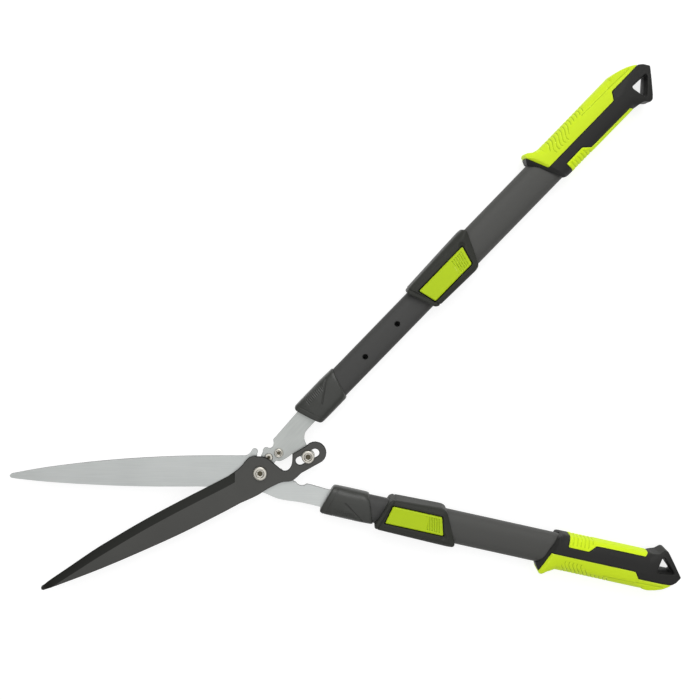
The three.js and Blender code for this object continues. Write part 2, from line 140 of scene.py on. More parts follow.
# ---------------------------------------------------------------- solid shapes as distance fields
def samples(low, high, step):
    """Sample coordinates that fill a box, as three arrays that combine by broadcasting."""
    axes = [np.arange(a, b + step, step) for a, b in zip(low, high)]
    return axes[0][:, None, None], axes[1][None, :, None], axes[2][None, None, :]


def smooth_outline(corners, radius, steps=5):
    """Replaces each corner of a closed outline with a short curve."""
    points = np.array(corners, float)
    before = np.roll(points, 1, 0) - points
    after = np.roll(points, -1, 0) - points
    rounded = []
    for corner, a, b in zip(points, before, after):
        reach = min(radius, 0.45 * np.hypot(*a), 0.45 * np.hypot(*b))
        start = corner + a / np.hypot(*a) * reach
        end = corner + b / np.hypot(*b) * reach
        for t in np.linspace(0, 1, steps):
            rounded.append((1 - t) ** 2 * start + 2 * t * (1 - t) * corner + t * t * end)
    return np.array(rounded)


def line_distance(points, x, y, closed=False):
    """Distance in the plane to a line through the points."""
    best = np.full(np.broadcast(x, y).shape, 1e12)
    pairs = zip(points, np.roll(points, -1, 0)) if closed else zip(points[:-1], points[1:])
    for (ax, ay), (bx, by) in pairs:
        ex, ey = bx - ax, by - ay
        t = np.clip(((x - ax) * ex + (y - ay) * ey) / (ex * ex + ey * ey + 1e-12), 0, 1)
        best = np.minimum(best, (x - ax - t * ex) ** 2 + (y - ay - t * ey) ** 2)
    return np.sqrt(best)


def inside_outline(points, x, y):
    inside = np.zeros(np.broadcast(x, y).shape, bool)
    for (ax, ay), (bx, by) in zip(points, np.roll(points, -1, 0)):
        if ay != by:
            inside ^= ((ay > y) != (by > y)) & (x < (bx - ax) * (y - ay) / (by - ay) + ax)
    return inside


def outline(corners, x, y, radius=1.5):
    """Signed distance to a closed outline with rounded corners, negative inside."""
    points = smooth_outline(corners, radius)
    return np.where(inside_outline(points, x, y), -1, 1) * line_distance(points, x, y, closed=True)


def oval(v, z, width, depth, power=2.6):
    """Signed distance to an oval bar along w. Width and depth may change along it."""
    a, b = np.abs(v) / (width / 2), np.abs(z) / (depth / 2)
    k = (a ** power + b ** power) ** (1 / power) + 1e-6
    slope = np.hypot(a ** (power - 1) / width, b ** (power - 1) / depth) * 2 / k ** (power - 1)
    return (k - 1) / (slope + 1e-6)


def meet(a, b, radius=0.8):
    """What two shapes share, with a round edge where they meet."""
    corner = np.hypot(np.maximum(a + radius, 0), np.maximum(b + radius, 0))
    return np.minimum(np.maximum(a, b), -radius) + corner


def carve(a, b, radius=0.4):
    """The first shape without the second."""
    return meet(a, -b, radius)


def merge(a, b, radius=0.8):
    """Both shapes, with a soft corner between them."""
    return -meet(-a, -b, radius)


def ramp(value, points):
    """A value read off a line through (place, value) points."""
    xs, ys = zip(*points)
    return np.interp(value, xs, ys)


def surface(field, low, step):
    """Points and faces of the zero surface of a sampled distance field."""
    field = np.pad(field, 1, constant_values=4 * step).astype(np.float32)
    grid = openvdb.FloatGrid(4 * step)
    grid.copyFromArray(np.ascontiguousarray(field))
    points, quads = grid.convertToQuads(isovalue=0)
    points = (points - 1) * step + np.array(low)
    a, b, c, d = (points[quads[:, i]] for i in range(4))
    if np.einsum("ij,ij->i", a, np.cross(c - a, d - b)).sum() < 0:
        quads = quads[:, ::-1]
    return points, quads


# ---------------------------------------------------------------- materials
def linear(red, green, blue):
    """Colour as displayed, 0 to 255, to the shader's linear values."""
    values = [c / 255 for c in (red, green, blue)]
    return [c / 12.92 if c <= 0.04045 else ((c + 0.055) / 1.055) ** 2.4 for c in values] + [1]


def surface_finish(name, colour, dark, roughness, metal=0.0, grain=1500, bump=0.05, stretch=(1, 1, 1),
                   turn=0.0, patch=45, specular=0.5, painted_edge_highlight=0.0, light=None, painted_recess_shade=0.0, recess_shade_tint=None):
    """A shader with cloudy tone, fine grain in bump and roughness, a painted highlight on convex edges and painted
    shade in recesses.
    """
    roughness_spread, grain_share, bump_distance = 0.08, 0.35, 0.0004
    material = bpy.data.materials.new(name)
    material.use_nodes = True
    nodes, links = material.node_tree.nodes, material.node_tree.links
    shader = nodes["Principled BSDF"]
    shader.inputs["Metallic"].default_value = metal
    shader.inputs["Specular IOR Level"].default_value = specular
    place = nodes.new("ShaderNodeTexCoord")
    mapping = nodes.new("ShaderNodeMapping")
    mapping.inputs["Rotation"].default_value = (0, 0, turn)
    links.new(place.outputs["Object"], mapping.inputs["Vector"])
    scaled = nodes.new("ShaderNodeVectorMath")
    scaled.operation = "MULTIPLY"
    scaled.inputs[1].default_value = stretch
    links.new(mapping.outputs["Vector"], scaled.inputs[0])

    def noise(scale, detail, source):
        node = nodes.new("ShaderNodeTexNoise")
        node.inputs["Scale"].default_value = scale
        node.inputs["Detail"].default_value = detail
        links.new(source, node.inputs["Vector"])
        return node.outputs["Fac"]

    def colour_mix(factor, tint):
        """A colour mix towards a tint. Its first colour is left open."""
        node = nodes.new("ShaderNodeMix")
        node.data_type = "RGBA"
        node.inputs["B"].default_value = linear(*tint)
        links.new(factor, node.inputs["Factor"])
        return node

    clouds = noise(patch, 3, place.outputs["Object"])
    fine = noise(grain, 4, scaled.outputs["Vector"])
    tone = nodes.new("ShaderNodeMath")
    tone.operation = "MULTIPLY_ADD"
    tone.inputs[1].default_value = grain_share
    links.new(fine, tone.inputs[0])
    shade = nodes.new("ShaderNodeMath")
    shade.operation = "MULTIPLY"
    shade.inputs[1].default_value = 1 - grain_share
    links.new(clouds, shade.inputs[0])
    links.new(shade.outputs["Value"], tone.inputs[2])
    base = colour_mix(tone.outputs["Value"], colour)
    base.inputs["A"].default_value = linear(*dark)
    edge = nodes.new("ShaderNodeNewGeometry")

    def toned(source, low, high, amount, tint):
        """Mixes a tint in where the surface's pointiness runs from low to high."""
        reach = nodes.new("ShaderNodeMapRange")
        reach.inputs["From Min"].default_value = low
        reach.inputs["From Max"].default_value = high
        reach.inputs["To Max"].default_value = amount
        links.new(edge.outputs["Pointiness"], reach.inputs["Value"])
        mix = colour_mix(reach.outputs["Result"], tint)
        links.new(source.outputs["Result"], mix.inputs["A"])
        return mix

    # Painted highlight: convex edges get the paler light tint, standing in for light caught on their bevels.
    if painted_edge_highlight:
        base = toned(base, 0.51, 0.56, painted_edge_highlight, light)
    # Painted shade: concave grooves and recesses get a darker tint, standing in for the shade that falls there.
    if painted_recess_shade:
        base = toned(base, 0.495, 0.44, painted_recess_shade, recess_shade_tint or [c * 0.6 for c in colour])
    links.new(base.outputs["Result"], shader.inputs["Base Color"])
    rough = nodes.new("ShaderNodeMapRange")
    rough.inputs["To Min"].default_value = roughness - roughness_spread
    rough.inputs["To Max"].default_value = roughness + roughness_spread
    links.new(tone.outputs["Value"], rough.inputs["Value"])
    links.new(rough.outputs["Result"], shader.inputs["Roughness"])
    relief = nodes.new("ShaderNodeBump")
    relief.inputs["Strength"].default_value = bump
    relief.inputs["Distance"].default_value = bump_distance
    links.new(fine, relief.inputs["Height"])
    links.new(relief.outputs["Normal"], shader.inputs["Normal"])
    return material


BLADE_TURN = math.radians(-28)
steel = surface_finish("satin_steel", (228, 231, 229), (176, 180, 179), 0.42, 0.55, 900, 0.06, (0.03, 1, 1),
                       patch=12)
ground_steel = surface_finish("ground_steel", (205, 206, 205), (160, 162, 162), 0.26, 1.0, 1100, 0.12,
                              (1, 0.04, 1), patch=20)
plate_steel = surface_finish("drive_steel", (213, 216, 213), (154, 158, 156), 0.42, 0.55, 1000, 0.06,
                             (0.05, 1, 1), turn=math.radians(-46), patch=26)
wall_steel = surface_finish("cut_steel", (120, 122, 121), (90, 92, 91), 0.45, 1.0, 900, 0.1, patch=60)
black_coat = surface_finish("black_coating", (86, 86, 83), (66, 66, 64), 0.45, 0.4, 2600, 0.12, patch=14)
black_wall = surface_finish("black_coated_wall", (44, 44, 42), (34, 34, 33), 0.5, 0.2, 2600, 0.12, patch=20,
                            specular=0.2)
black_ground = surface_finish("black_ground_edge", (40, 41, 37), (28, 29, 25), 0.34, 0.5, 1000, 0.12,
                              (0.05, 1, 1), turn=BLADE_TURN, patch=30)
tube_coat = surface_finish("tube_coating", (84, 84, 82), (76, 76, 74), 0.6, 0.2, 3200, 0.10, patch=12,
                           specular=0.3)
inner_coat = surface_finish("inner_tube_coating", (74, 74, 73), (66, 66, 65), 0.58, 0.2, 3200, 0.10,
                            patch=12, specular=0.3)
# The black plastics below get painted shade in their grooves and recesses.
black_plastic = surface_finish("moulded_plastic", (58, 59, 55), (46, 47, 43), 0.5, 0.0, 2600, 0.16,
                               patch=24, specular=0.16, painted_recess_shade=0.8)
collar_plastic = surface_finish("collar_plastic", (66, 67, 64), (53, 54, 51), 0.34, 0.0, 2600, 0.14,
                                patch=24, specular=0.4, painted_recess_shade=0.8)
core_plastic = surface_finish("grip_plastic", (50, 50, 49), (39, 39, 38), 0.5, 0.0, 2600, 0.14, patch=24,
                              specular=0.15, painted_recess_shade=0.8)
# The lime pieces below get painted highlights on their edges as well as painted shade in their grooves.
lever_plastic = surface_finish("lime_plastic", (190, 218, 22), (176, 204, 12), 0.45, 0.0, 2000, 0.06,
                               patch=30, specular=0.25, painted_edge_highlight=0.25, light=(228, 246, 130), painted_recess_shade=1.0,
                               recess_shade_tint=(84, 112, 6))
lime_rubber = surface_finish("lime_rubber", (214, 240, 42), (202, 229, 24), 0.6, 0.0, 2800, 0.14,
                             patch=22, specular=0.2, painted_edge_highlight=0.4, light=(228, 246, 110), painted_recess_shade=0.9,
                             recess_shade_tint=(122, 148, 12))
insert_rubber = surface_finish("lime_insert_rubber", (222, 250, 30), (208, 238, 18), 0.6, 0.0, 2800, 0.14,
                               patch=22, specular=0.2, painted_edge_highlight=0.4, light=(226, 246, 100), painted_recess_shade=0.9,
                               recess_shade_tint=(104, 130, 8))
nylon = surface_finish("black_nylon", (46, 46, 46), (36, 36, 36), 0.55, 0.0, 1800, 0.1)
nickel = surface_finish("nickel_plate", (222, 219, 210), (194, 190, 180), 0.28, 1.0, 1500, 0.05, patch=120)
# Socket floors: darker brownish steel, partly oil and partly painted shade in the recess.
socket_shade_and_oil = surface_finish("socket_shade_and_oil", (104, 98, 82), (70, 66, 54), 0.4, 0.9, 1500, 0.08, patch=160)
dark_steel = surface_finish("dark_steel", (70, 70, 72), (52, 52, 54), 0.35, 0.8, 1500, 0.05)
spring = surface_finish("spring_steel", (150, 152, 155), (120, 122, 126), 0.3, 1.0, 1200, 0.06,
                        (1, 0.05, 1))


# ---------------------------------------------------------------- plates
PLATE_SPAN = (-130, 60)  # lowest and highest y that a plate's cross lines need


def plate_outlines(node):
    """Closed outlines of a plate's front face, in mm, the outside first. Solid lies left of each line."""
    mesh = frame["nodes"][node].data
    points = node_points(node)
    top = points[:, 2].max()
    edges = {}
    for face in mesh.polygons:
        corners = [tuple(np.round(points[i], 3)) for i in face.vertices]
        if min(c[2] for c in corners) > top - 0.01:
            for a, b in zip(corners, corners[1:] + corners[:1]):
                edges[a, b] = True
    follow = {a: b for a, b in edges if (b, a) not in edges}
    loops = []
    while follow:
        start, point = next(iter(follow.items()))
        loop = [start]
        del follow[start]
        while point != start:
            loop.append(point)
            point = follow.pop(point)
        loops.append(np.array(loop)[:, :2])
    return sorted(loops, key=lambda loop: -np.ptp(loop[:, 0]))


def inset(loop, distance):
    """A closed outline moved sideways into the solid, by its corners' bisectors."""
    before = loop - np.roll(loop, 1, 0)
    after = np.roll(loop, -1, 0) - loop
    before /= np.linalg.norm(before, axis=1)[:, None]
    after /= np.linalg.norm(after, axis=1)[:, None]
    normal = np.stack([-(before + after)[:, 1], (before + after)[:, 0]], 1)
    normal /= np.linalg.norm(normal, axis=1)[:, None]
    spread = np.clip(normal[:, 0] * -after[:, 1] + normal[:, 1] * after[:, 0], 0.5, 1)
    return loop + normal * (distance / spread)[:, None]


class Ground:
    """A ground cutting edge: its line, the ground face's width and depth, and the x where it stops.

    It is on the plate's front where face is 1 and on its rear where face is -1.
    """

    def __init__(self, edge, width, depth, face, stop, stop_run=1.2):
        self.edge, self.width, self.depth, self.face = edge, width, depth, face
        self.stop, self.stop_run = stop, stop_run

    def drop(self, x, y):
        """How far the ground face lies under the plate's own face."""
        away = np.clip(1 - line_distance(self.edge, x, y) / self.width, 0, 1)
        return self.depth * away * np.clip((self.stop - x) / self.stop_run, 0, 1)

    def end_line(self):
        """The line where the ground face meets the plate's own face."""
        along = np.gradient(self.edge, axis=0)
        along /= np.linalg.norm(along, axis=1)[:, None]
        side = np.stack([along[:, 1], -along[:, 0]], 1)
        if side[:, 1].mean() > 0:
            side = -side
        if self.face < 0:
            side = -side
        return self.edge + side * self.width


def honed_back(loop, edge, tip):
    """The outline with its cutting edge moved back a little towards the tip, where it is sharpened most."""
    on_edge = line_distance(edge, loop[:, 0], loop[:, 1]) < 0.01
    away = np.linalg.norm(loop - tip, axis=1)
    return inset(loop, on_edge * ramp(away, [(0, 0), (5, 1.4), (12, 1.6), (35, 1.1), (75, 0)]))


def fill(loops, chains):
    """Corners and triangles that fill the first outline but not its holes, with edges along each chain."""
    merge_distance = 1e-4
    corners, edges = [], []
    for chain, closed in chains:
        first = len(corners)
        corners += [Vector(p) for p in chain]
        edges += [(first + i, first + i + 1) for i in range(len(chain) - 1)]
        if closed:
            edges.append((len(corners) - 1, first))
    flat, _, triangles, *_ = delaunay_2d_cdt(corners, edges, [], 0, merge_distance)
    flat = np.array([tuple(p) for p in flat])
    triangles = np.array([t for t in triangles if len(t) == 3])
    centre = flat[triangles].mean(1)
    keep = inside_outline(loops[0], centre[:, 0], centre[:, 1])
    for hole in loops[1:]:
        keep &= ~inside_outline(hole, centre[:, 0], centre[:, 1])
    triangles = triangles[keep]
    used, triangles = np.unique(triangles, return_inverse=True)
    flat, triangles = flat[used], triangles.reshape(-1, 3)
    ab, ac = flat[triangles[:, 1]] - flat[triangles[:, 0]], flat[triangles[:, 2]] - flat[triangles[:, 0]]
    turned = ab[:, 0] * ac[:, 1] - ab[:, 1] * ac[:, 0] < 0
    triangles[turned] = triangles[turned][:, ::-1]
    return flat, triangles


def plate(node, slot, finishes, chamfer=0.35, ground=None, dark_rim=False, rim_line=None):
    """A flat plate with chamfered edges and maybe a ground edge.

    The finishes are for the faces, the walls and the ground face. A dark rim has the walls' finish.
    """
    points = node_points(node)
    low, high = points[:, 2].min(), points[:, 2].max()
    loops = plate_outlines(node)
    if rim_line is not None:
        loops[0] = rim_line
    chains = [(loop, True) for loop in loops]
    chains += [(inset(loop, chamfer), True) for loop in loops]
    if ground:
        chains.append((ground.end_line(), False))
        for x in (ground.stop, ground.stop - ground.stop_run):
            chains.append((np.array([(x, y) for y in PLATE_SPAN]), False))
    flat, triangles = fill(loops, chains)
    seen = {(a, b) for t in triangles for a, b in zip(t, np.roll(t, -1))}
    rim = [(a, b) for a, b in seen if (b, a) not in seen]
    on_rim = np.zeros(len(flat), bool)
    on_rim[np.array(rim).ravel()] = True
    drop = ground.drop(flat[:, 0], flat[:, 1]) if ground else np.zeros(len(flat))
    soft = np.where(on_rim & (drop < 0.5 * (high - low)), chamfer, 0)
    front, rear = high - soft, low + soft
    if ground and ground.face > 0:
        front = np.minimum(high - drop, front)
    elif ground:
        rear = np.maximum(low + drop, rear)
    count = len(flat)
    wall, ground_face = 1, 2
    solid = np.concatenate([np.column_stack([flat, front]), np.column_stack([flat, rear])])
    faces = [tuple(t) for t in triangles] + [tuple(t[::-1] + count) for t in triangles]
    faces += [(b, a, a + count, b + count) for a, b in rim]
    tone = np.full(len(faces), wall)
    tone[:2 * len(triangles)] = np.tile(np.where(on_rim[triangles].any(1) & dark_rim, wall, 0), 2)
    if ground:
        middle = flat[triangles].mean(1)
        first = 0 if ground.face > 0 else len(triangles)
        is_ground = ground.drop(middle[:, 0], middle[:, 1]) > 0.02
        tone[first:first + len(triangles)][is_ground] = ground_face
    make_piece(node, solid, faces, slot, finishes, tone, sharp=28)


def edge_between(loop, start, end):
    """The stretch of an outline between the corners nearest to two points."""
    first = np.argmin(np.linalg.norm(loop - start, axis=1))
    last = np.argmin(np.linalg.norm(loop - end, axis=1))
    step = 1 if (last - first) % len(loop) < len(loop) / 2 else -1
    count = (step * (last - first)) % len(loop)
    return np.array([loop[(first + step * i) % len(loop)] for i in range(count + 1)])


def make_plates():
    """Both blades, the drive plate and the doubler. Each cutting edge is a stretch of its blade's outline."""
    fixed = plate_outlines("fixed_blade")[0]
    moving = plate_outlines("moving_blade")[0]
    fixed_tip = fixed[np.argmin(fixed[:, 0])]
    moving_tip = moving[np.argmin(moving[:, 0])]
    fixed_heel, moving_heel = (-62.7, -14.7), (-26, 1)
    lower_edge = edge_between(fixed, fixed_tip + (6, -3), fixed_heel)
    lower_edge = lower_edge[np.argsort(lower_edge[:, 0])]
    upper_edge = edge_between(moving, moving_tip + (2, 4), moving_heel)
    upper_edge = upper_edge[np.argsort(upper_edge[:, 0])]
    rear_ground = Ground(lower_edge, width=7.5, depth=2.2, face=-1, stop=-66)
    front_ground = Ground(upper_edge, width=8.6, depth=2.3, face=1, stop=-25.7)
    plate("fixed_blade", "blade_steel", [steel, wall_steel, ground_steel], ground=rear_ground)
    plate("moving_blade", "black_blade", [black_coat, black_wall, black_ground], 0.5, front_ground,
          dark_rim=True, rim_line=honed_back(moving, upper_edge, moving_tip))
    plate("drive_plate", "blade_steel", [plate_steel, wall_steel])
    plate("pivot_backplate", "blade_steel", [plate_steel, wall_steel])


# ---------------------------------------------------------------- tubes
def oval_ring(width, depth, sides=96, power=2.6):
    """Points round an oval, widest first."""
    angle = np.linspace(0, 2 * math.pi, sides, endpoint=False)
    round_ring = np.column_stack([np.cos(angle), np.sin(angle)])
    return np.sign(round_ring) * np.abs(round_ring) ** (2 / power) * (width / 2, depth / 2)


def tube(place, node, origin, finish, holes=()):
    """An oval tube with softened mouths, and countersunk lock holes at some places along it."""
    wall, hole_radius = 1.5, 2.7
    name = f"{place['side']}_{node}"
    low, high = extent(name, place["axes"], place[origin])
    width, depth = (high - low)[1:]
    soft = 0.4
    inner = 2 * (wall - soft)
    stations = [(low[0], 2 * soft), (low[0] + soft, 0), (high[0] - soft, 0), (high[0], 2 * soft),
                (high[0], inner), (high[0] - soft, 2 * wall), (low[0] + soft, 2 * wall), (low[0], inner)]
    rings = []
    for w, thinner in stations:
        ring = oval_ring(width - thinner, depth - thinner)
        rings.append(np.column_stack([np.full(len(ring), w), ring]))
    sides = len(rings[0])
    faces = []
    for k in range(len(rings)):
        a, b = k * sides, (k + 1) % len(rings) * sides
        faces += [(a + i, b + i, b + (i + 1) % sides, a + (i + 1) % sides) for i in range(sides)]
    faces = [face[::-1] for face in faces]
    points, faces = on_handle(place, origin, np.concatenate(rings), faces)
    piece = make_piece(name, points, faces, "handle_tube", finish, sharp=30)
    if holes:
        drill(piece, place, origin, [(w, depth / 2) for w in holes], hole_radius)


def drill(piece, place, origin, spots, radius):
    """Bores round holes in a tube's front wall, each with a small countersink."""
    sides = 40
    angle = np.linspace(0, 2 * math.pi, sides, endpoint=False)
    levels = [(-6, radius), (-0.5, radius), (1.5, radius + 2)]  # heights over the wall, and radii there
    points, faces = [], []
    for w, top in spots:
        base = len(points)
        for z, r in levels:
            points += [(w + r * math.cos(t), r * math.sin(t), top + z) for t in angle]
        for k in range(len(levels) - 1):
            for i in range(sides):
                a, b = base + k * sides, base + (k + 1) * sides
                faces.append((a + i, a + (i + 1) % sides, b + (i + 1) % sides, b + i))
        faces.append(tuple(base + i for i in range(sides))[::-1])
        last = base + (len(levels) - 1) * sides
        faces.append(tuple(last + i for i in range(sides)))
    points, faces = on_handle(place, origin, points, faces)
    mesh = bpy.data.meshes.new("drill")
    mesh.from_pydata((points * MM).tolist(), [], faces)
    cutter = bpy.data.objects.new("drill", mesh)
    bpy.context.scene.collection.objects.link(cutter)
    bore = piece.modifiers.new("holes", "BOOLEAN")
    bore.operation, bore.solver, bore.object = "DIFFERENCE", "EXACT", cutter
    bpy.context.view_layer.update()
    finished = bpy.data.meshes.new_from_object(piece.evaluated_get(bpy.context.evaluated_depsgraph_get()))
    piece.modifiers.remove(bore)
    piece.data = finished
    finished.set_sharp_from_angle(angle=math.radians(30))
    bpy.data.objects.remove(cutter)


# ---------------------------------------------------------------- moulded pieces
def moulded(node, origin, slot, finish, low, high, step, shape):
    """Carves one shape in the handle's own axes and places it on both handles."""
    field = shape(*samples(low, high, step))
    points, faces = surface(field, low, step)
    for place in HANDLES:
        name = f"{place['side']}_{node}"
        make_piece(name, *on_handle(place, origin, points, faces), slot, finish)


# The outlines below are (w, v) points in the handle's own axes.
LOCK_PIN_W = 30.4
TUBE_BORE, GUIDE_BORE = (28.5, 16.8), (33.9, 21.6)  # clear of the inner and of the outer tube
HOUSING_PLAN = [(-0.5, 14.6), (2.2, 17), (76.5, 19.7), (82.2, 18.9), (83.6, 15.2), (69.2, -15),
                (66.8, -17.6), (62.8, -18.9), (12.6, -16.9), (9.4, -14.6)]
POCKET_PLAN = [(8.3, 8.8), (70.8, 8.8), (64.9, -11.6), (12.6, -11.6)]
LEVER_PLAN = [(9.6, 7.8), (69.4, 7.8), (64, -10.6), (13.6, -10.6)]
TUBE_END = [(83.4, 14.6), (69.2, -15)]
BLADE_END = [(-0.5, 14.6), (9.4, -14.6)]


def from_line(ends, w, v, positive_w):
    """Distance from an endless line, positive on the side of the axis point at positive_w."""
    (ax, ay), (bx, by) = ends
    length = math.hypot(bx - ax, by - ay)
    away = ((bx - ax) * (v - ay) - (by - ay) * (w - ax)) / length
    side = (by - ay) * (ax - positive_w) - (bx - ax) * ay
    return away * math.copysign(1, side)


def housing_shape(w, v, z):
    """A block with flat faces and sloped ends. It holds the lever's pocket and the bores for both tubes."""
    flat, floor, inside, wide_bore_start = 15.5, 10.4, 40, 39.7
    plan = outline(HOUSING_PLAN, w, v, 1.6)
    section = oval(v, z, 42, 34, 3)
    body = meet(plan, meet(section, np.abs(z) - flat, 0.8), 1.5)
    tube_slope = np.abs(z) - (13 + 0.38 * from_line(TUBE_END, w, v, inside))
    body = meet(body, tube_slope, 0.8)
    lip = np.hypot(from_line(BLADE_END, w, v, inside) - 4.2, (-body - 0.1).clip(-1, 9)) - 0.75
    body = carve(body, lip, 0.2)
    ridge = line_distance([(5, 12.4), (42, 12.2)], w, v) - 0.45
    body = carve(body, meet(ridge, 15.1 - z, 0.1), 0.15)
    dish = np.sqrt((w - 70.2) ** 2 + (v - 8.6) ** 2 + (z - flat - 4.6) ** 2) - 6
    body = carve(body, dish, 0.5)
    pocket = meet(outline(POCKET_PLAN, w, v, 1.5), floor - z, 0.5)
    body = carve(body, pocket, 0.35)
    pin_bore = np.hypot(w - LOCK_PIN_W, v) - 3
    body = carve(body, np.maximum(pin_bore, -z), 0.2)
    body = carve(body, oval(v, z, *TUBE_BORE), 0.4)
    return carve(body, np.maximum(oval(v, z, *GUIDE_BORE), wide_bore_start - w), 0.4)


def lever_shape(w, v, z):
    """A plate with bevelled edges and a grooved end, on a boss that turns about the hinge pin."""
    top, bottom, edge = 15.8, 12.9, 1.0
    grooves, first_groove, pitch = 6, 52.4, 2.45
    plan = outline(LEVER_PLAN, w, v, 1.6)
    body = meet(plan, np.maximum(z - top, bottom - z), 0.3)
    body = meet(body, z - top - 0.75 * np.minimum(0, -plan - edge), 0.15)
    for k in range(grooves):
        start = first_groove + pitch * k
        groove = line_distance([(start, 4.8), (start - 3.3, -8)], w, v)
        body = carve(body, np.hypot(groove, z - top) - 0.65, 0.2)
    boss = meet(np.hypot(w - LEVER_W, z - LEVER_Z + 0.5) - 3, np.abs(v + 1.4) - 8.5, 0.4)
    body = merge(body, boss, 0.3)
    return carve(body, np.hypot(w - LEVER_W, z - LEVER_Z) - 1.4, 0.1)


COLLAR_PLAN = [(-57.4, 12.2), (-56.5, 14.6), (-54.4, 16), (-20, 16.4), (-1.2, 15.2), (-12.4, -16.2),
               (-30, -16.4), (-44.6, -16.4), (-47.8, -15.8), (-49.4, -14.2)]


def collar_shape(w, v, z):
    """A boot that is thinner towards the blades, with a slash line, a seam and a knurled patch."""
    handle_end, blade_end = [(-1.2, 15.2), (-12.4, -16.2)], [(-57.4, 12.2), (-49.4, -14.2)]
    inside, tube_start, squareness, knurl_pitch = -30, -47.3, 2.2, 2.2
    plan = outline(COLLAR_PLAN, w, v, 2)
    depth = ramp(w, [(-58, 17), (-46, 21), (-34, 23.4), (-12, 23.4), (0, 22)])
    crown = np.abs(z) - depth / 2 + 0.12 * np.maximum(v + 3, 0)
    body = meet(plan, meet(oval(v, z, 33, depth, squareness), crown, 3), 1.6)
    handle_edge = from_line(handle_end, w, v, inside)
    lip = oval(v, z, 31.8, depth - 2.6, squareness) - 0.5 * np.minimum(handle_edge, 6)
    body = meet(body, lip, 1.5)
    slash = line_distance([(-12.6, 13), (-22.4, 6.2), (-33.4, -1.6)], w, v)
    body = carve(body, np.maximum(np.hypot(slash, body + 0.1) - 0.8, -z), 0.25)
    knurl = 0.25 * np.cos((w + 0.35 * z) * 2 * math.pi / knurl_pitch)
    window = ramp(w, [(-45, 0), (-43, 1), (-22, 1), (-20, 0)]) * ramp(v, [(6, 0), (8, 1)])
    body = body + window * (0.25 + knurl)
    seam = np.abs(from_line(blade_end, w, v, inside) - 5.5)
    body = carve(body, np.hypot(seam, body) - 0.35, 0.15)
    bore = np.maximum(oval(v, z, *TUBE_BORE), tube_start - w)
    body = carve(body, bore, 0.4)
    tang = meet(np.abs(v) - 10, np.abs(z) - 1.8, 0.2)
    return carve(body, tang, 0.2)


GRIP_PLAN = [(169, 17.2), (171.9, 22), (173.9, 25.4), (176.4, 25.8), (181.4, 21.6), (187, 19.5),
             (278, 19.4), (286, 18.5), (293, 16.8), (300, 14.1), (305.5, 10.9), (309.8, 7.8), (313.2, 5.2),
             (317.2, -1), (297, -25.4), (293.8, -25.8), (289.4, -21), (283, -19.4), (197.6, -19.2),
             (189.4, -18.8), (184.8, -16.4), (181, -7)]
OVERMOULD_PLAN = [(171.2, 27), (181, 1.2), (268, 1.2), (273.4, 8.5), (312, 8.5), (312, 40), (169, 40)]
INSERT_PLAN = [(198, -30), (195.6, -8.8), (216.8, -8.6), (223.8, -15.2), (275.5, -15.6), (279.5, -20.2),
               (282, -30)]
HANG_HOLE = [(291, -3.3), (308, -4.2), (293.6, -17.8)]
FLARE_RIDGE = [(183.2, 1.4), (176.3, 26.5)]
SKIN = 1.6  # thickness of the lime skins
SKIN_GAP, SKIN_FLOOR_GAP = 0.45, 0.3  # room around them and under them
SKIN_PROUD = 0.15  # how far they stand over the core


def grip_shape(w, v, z):
    """The whole grip's outer form: an oval bar between a flared hand guard and a hooked heel."""
    plan = outline(GRIP_PLAN, w, v, 1.2)
    width = ramp(w, [(166, 68), (178, 64), (189, 39.8), (280, 39.8), (290, 60), (300, 76)])
    depth = ramp(w, [(166, 31), (180, 34), (276, 34), (300, 27), (320, 19)])
    body = meet(plan, meet(oval(v, z, width, depth, 2.4), np.abs(z) - 16.2, 2), 1)
    flare = np.abs(z) - (16.2 + 0.9 * from_line(FLARE_RIDGE, w, v, 240))
    body = meet(body, flare, 0.3)
    heel = ramp(w, [(266, 0), (274, 1)])
    facet = np.abs(z) - 16.3 + 0.25 * heel * np.maximum(v + 1, 0)
    return meet(body, facet, 0.3)


def skin_recess(w, v, z, body):
    """Where the two lime skins lie in the grip's core."""
    regions = np.minimum(outline(OVERMOULD_PLAN, w, v, 1.2), outline(INSERT_PLAN, w, v, 1))
    return np.maximum(regions - SKIN_GAP, -(body + SKIN + SKIN_FLOOR_GAP))


def core_shape(w, v, z):
    """The black core: the grip without its two lime skins, the hang hole and the outer tube's bore."""
    bore_end = 282.5
    body = grip_shape(w, v, z)
    core = carve(body, skin_recess(w, v, z, body), 0.3)
    hole = outline(HANG_HOLE, w, v, 1.6)
    flare = 0.16 * np.maximum(np.abs(z) - 4, 0)
    core = carve(core, hole - flare, 0.5)
    bore = np.maximum(oval(v, z, *GUIDE_BORE), w - bore_end)
    return carve(core, bore, 0.4)


def thumb_grooves(w, v):
    """Grooves across the outer skin: straight at its edge, then slanted, with a hook at the inner end."""
    pitch = 4.15
    slant = ramp(v, [(4.5, 4.4), (6.5, 5.7), (8.5, 6), (10.5, 5.2), (13, 3.3), (15, 1.5), (17, 0.3),
                     (18.5, 0)])
    start = w + slant
    reach = ramp(start, [(197, 12), (200, 7), (202, 5), (221, 5.4), (225, 13.6), (244, 14.4)])
    window = ramp(start, [(195.8, 0), (196.4, 1), (245.2, 1), (245.8, 0)]) * np.clip(v - reach, 0, 1)
    wave = np.cos((start - 197.8) * 2 * math.pi / pitch)
    return window * np.clip((wave - 0.35) / 0.65, 0, 1)


def insert_ribs(w, v):
    """A sunk field inside the insert's border, crossed by raised ribs."""
    pitch = 4
    field = np.clip(-2.2 - outline(INSERT_PLAN, w, v, 1), 0, 0.8) / 0.8
    field = field * ramp(w, [(221, 1), (223, 0)])
    wave = np.cos((w + 0.12 * v - 198.6) * 2 * math.pi / pitch)
    return field * (0.3 + 0.7 * np.clip((wave - 0.1) / 0.5, 0, 1))


